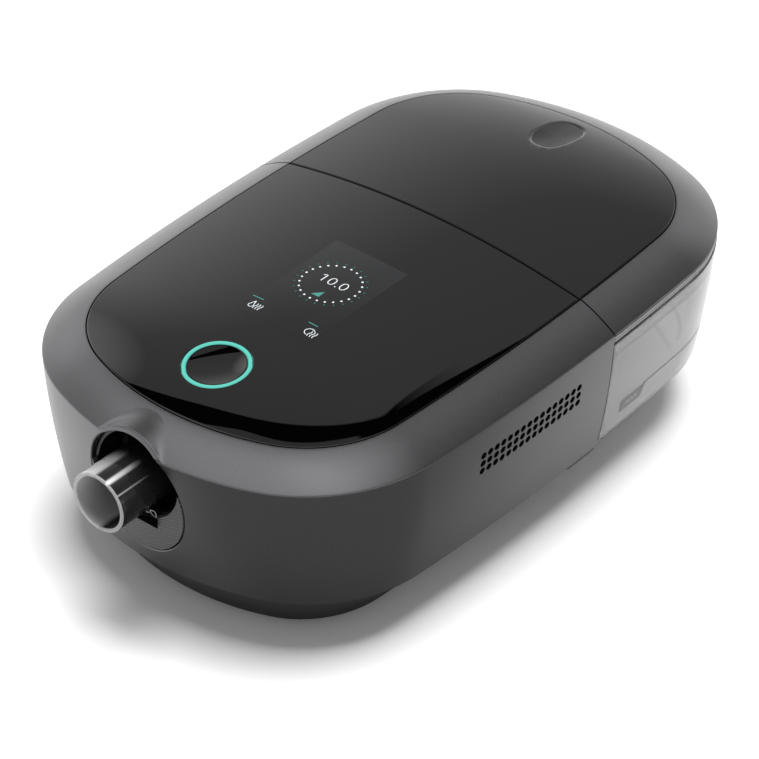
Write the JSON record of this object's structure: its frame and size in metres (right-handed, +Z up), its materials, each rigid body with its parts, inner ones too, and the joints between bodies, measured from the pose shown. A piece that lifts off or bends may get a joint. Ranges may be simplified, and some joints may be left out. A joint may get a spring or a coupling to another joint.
{
  "type": "cpap machine",
  "caption": "Bedside breathing-therapy machine with a hinged humidifier lid, a slide-out clear water tank, a lit power button and a front air outlet.",
  "frame": {"origin": "centre of the bounding box's bottom face, on the surface that the feet stand on", "axes": "+Z up, +Y from the air outlet towards the water tank, +X towards the side with the grille"},
  "size_m": [0.1588, 0.264, 0.085],
  "materials": {
    "body_shell": "satin",
    "dark_plastic": "matte",
    "black_gloss": "gloss",
    "black_plastic": "matte",
    "light_turquoise": "satin",
    "rubber": "matte",
    "silicone": "matte",
    "steel": "satin",
    "board": "matte",
    "foam": "matte",
    "smoke_clear": "gloss",
    "trim_clear": "gloss"
  },
  "bodies": {
    "machine": {"main_housing": "body_shell", "base_pan": "dark_plastic", "foot_1": "rubber", "foot_2": "rubber", "foot_3": "rubber", "foot_4": "rubber", "base_screw_1": "steel", "base_screw_2": "steel", "base_screw_3": "steel", "base_screw_4": "steel", "control_panel": "black_gloss", "light_ring": "light_turquoise", "display_module": "black_gloss", "control_board": "board", "button_switch": "black_plastic", "main_board": "board", "blower_case": "black_plastic", "blower_cover": "dark_plastic", "blower_motor": "steel", "blower_boot": "rubber", "intake_duct": "dark_plastic", "delivery_duct": "dark_plastic", "return_duct": "dark_plastic", "muffler_foam": "foam", "filter_frame": "dark_plastic", "air_filter": "foam", "card_socket": "steel", "memory_card": "black_plastic", "power_inlet": "black_plastic", "grille_mesh": "black_plastic", "outlet_cup": "black_plastic", "outlet_plate": "dark_plastic", "plate_mark": "black_plastic", "outlet_spigot": "smoke_clear", "outlet_seal": "rubber", "port_seal_in": "silicone", "port_seal_out": "silicone", "heater_ring": "rubber", "hinge_guide_right": "dark_plastic", "hinge_guide_left": "dark_plastic"},
    "lid": {"lid_ring": "body_shell", "lid_insert": "black_gloss", "lid_trim": "trim_clear", "lid_tray": "dark_plastic", "lid_seal": "silicone", "hinge_arm_right": "dark_plastic", "hinge_arm_left": "dark_plastic"},
    "tank": {"tank_tub": "smoke_clear", "tank_cover": "smoke_clear", "tank_seal": "silicone", "tank_base": "steel", "tank_baffle": "dark_plastic"},
    "button": {"power_button": "black_gloss"},
    "rotor": {"impeller": "silicone"},
    "filter_flap": {"filter_door": "body_shell"},
    "card_flap": {"card_door": "dark_plastic"},
    "heater": {"heater_plate": "steel"}
  },
  "joints": [
    {"name": "lid_hinge", "type": "hinge", "parent": "machine", "child": "lid", "pos_m": [0, 0.0297, 0.0853], "axis": [1, 0, 0], "range_deg": [0, 65]},
    {"name": "tank_slide", "type": "slide", "parent": "machine", "child": "tank", "axis": [0, 1, 0], "range_m": [0, 0.115]},
    {"name": "power_button_press", "type": "slide", "parent": "machine", "child": "button", "axis": [0, 0, -1], "range_m": [0, 0.0006], "stiffness_N_per_m": 800, "springref_m": -0.0006},
    {"name": "impeller_spin", "type": "hinge", "parent": "machine", "child": "rotor", "pos_m": [0.014, -0.04365, 0.025], "axis": [0, 0, 1], "continuous": true},
    {"name": "filter_door_hinge", "type": "hinge", "parent": "machine", "child": "filter_flap", "pos_m": [-0.0792, -0.01565, 0.047], "axis": [0, 0, -1], "range_deg": [0, 100]},
    {"name": "card_door_hinge", "type": "hinge", "parent": "machine", "child": "card_flap", "pos_m": [-0.0792, 0.02335, 0.053], "axis": [0, 0, -1], "range_deg": [0, 100]},
    {"name": "heater_float", "type": "slide", "parent": "machine", "child": "heater", "axis": [0, 0, -1], "range_m": [0, 0.001], "stiffness_N_per_m": 2000, "springref_m": -0.001}
  ]
}
